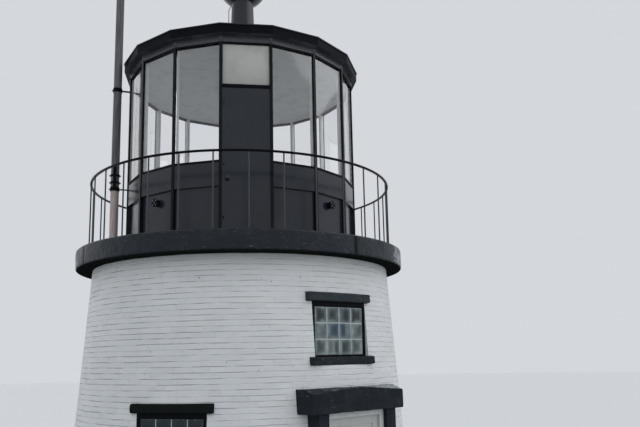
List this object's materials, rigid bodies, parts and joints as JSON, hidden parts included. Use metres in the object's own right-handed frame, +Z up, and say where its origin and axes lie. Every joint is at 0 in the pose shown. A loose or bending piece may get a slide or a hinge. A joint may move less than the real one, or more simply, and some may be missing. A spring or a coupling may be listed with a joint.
{
  "type": "lighthouse",
  "caption": "Short round lighthouse: battered painted brick tower with a stone-hooded door, a railed gallery and a sixteen-sided glazed iron lantern.",
  "frame": {"origin": "middle of the tower's base at ground level", "axes": "+Z up along the tower's axis; the ground door faces -Y; +X to the right of the door seen from outside"},
  "size_m": [4.9799, 4.9798, 9.89],
  "materials": {
    "white_brick": "matte",
    "black_stone": "matte",
    "black_iron": "satin",
    "floor_stone": "matte",
    "white_wood": "satin",
    "glass_block": "gloss",
    "pane_glass": "gloss",
    "grey_ceiling": "satin",
    "grey_timber": "matte",
    "pale_metal": "satin",
    "brass": "satin"
  },
  "bodies": {
    "tower": {"door_frame": "white_wood", "door_hood": "black_stone", "door_jambs": "black_stone", "door_threshold": "floor_stone", "gallery_balusters": "black_iron", "gallery_handrail": "black_iron", "gallery_slab": "black_stone", "ground_floor": "floor_stone", "lantern_band": "black_iron", "lantern_ceiling": "grey_ceiling", "lantern_door": "black_iron", "lantern_eave": "black_iron", "lantern_glass": "pane_glass", "lantern_glazing_bars": "black_iron", "lantern_head": "black_iron", "lantern_lower_panels": "black_iron", "lantern_posts": "black_iron", "lantern_roof": "black_iron", "lantern_sill": "black_iron", "lantern_vents": "black_iron", "mast": "grey_timber", "mast_brackets": "black_iron", "spindle": "black_iron", "stack_pipe": "pale_metal", "vent_ball": "black_iron", "vent_stack": "black_iron", "wall_back": "white_brick", "wall_back_right": "white_brick", "wall_back_window_bay": "white_brick", "wall_left": "white_brick", "wall_left_back": "white_brick", "wall_left_front": "white_brick", "wall_left_of_door": "white_brick", "wall_lower_window_bay": "white_brick", "wall_over_door": "white_brick", "wall_right": "white_brick", "wall_right_front": "white_brick", "wall_right_of_door": "white_brick", "window_frames": "black_iron", "window_glass_blocks": "glass_block", "window_lintels": "black_stone", "window_sills": "black_stone"},
    "ground_door": {"door_leaf": "white_wood", "door_hinges": "black_iron", "door_knobs": "brass"}
  },
  "joints": [
    {"name": "ground_door_hinge", "type": "hinge", "parent": "tower", "child": "ground_door", "pos_m": [0.4435, -2.2975, 0], "axis": [0, 0, -1], "range_deg": [0, 90]}
  ]
}
